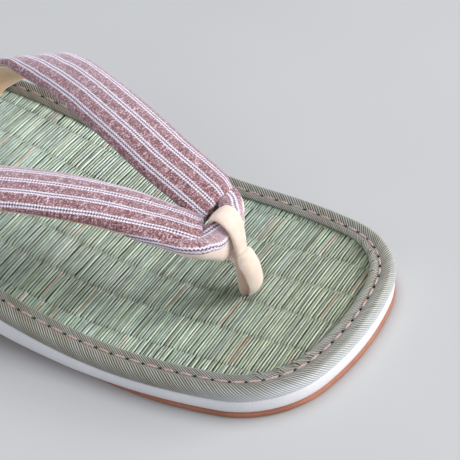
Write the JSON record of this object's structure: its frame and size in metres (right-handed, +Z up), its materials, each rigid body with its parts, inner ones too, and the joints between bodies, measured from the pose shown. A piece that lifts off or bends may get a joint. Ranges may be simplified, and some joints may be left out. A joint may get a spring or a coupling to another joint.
{
  "type": "zori sandal",
  "caption": "Low zori sandal: woven rush mat bound with stitched twill tape on a pale foam midsole and thin brown outsole, with padded striped cloth straps held by a toe thong.",
  "frame": {"origin": "centre of the sandal's footprint, on the floor", "axes": "+X towards the toe, +Y to the wearer's left, +Z up"},
  "size_m": [0.26, 0.1052, 0.0544],
  "materials": {
    "outsole_rubber": "matt terracotta-brown sheet rubber",
    "midsole_foam": "smooth off-white foam",
    "rush": "woven rush, dull sheen",
    "binding_tape": "ribbed twill tape with a stitched seam",
    "striped_cotton": "padded striped cotton",
    "lining_cloth": "plain beige cloth",
    "thong_cloth": "soft cream cloth"
  },
  "bodies": {
    "root": {"outsole": "outsole_rubber", "midsole": "midsole_foam", "rush_mat": "rush", "edge_binding": "binding_tape", "straps": "striped_cotton", "strap_lining_left": "lining_cloth", "strap_lining_right": "lining_cloth", "front_thong": "thong_cloth"}
  },
  "joints": []
}
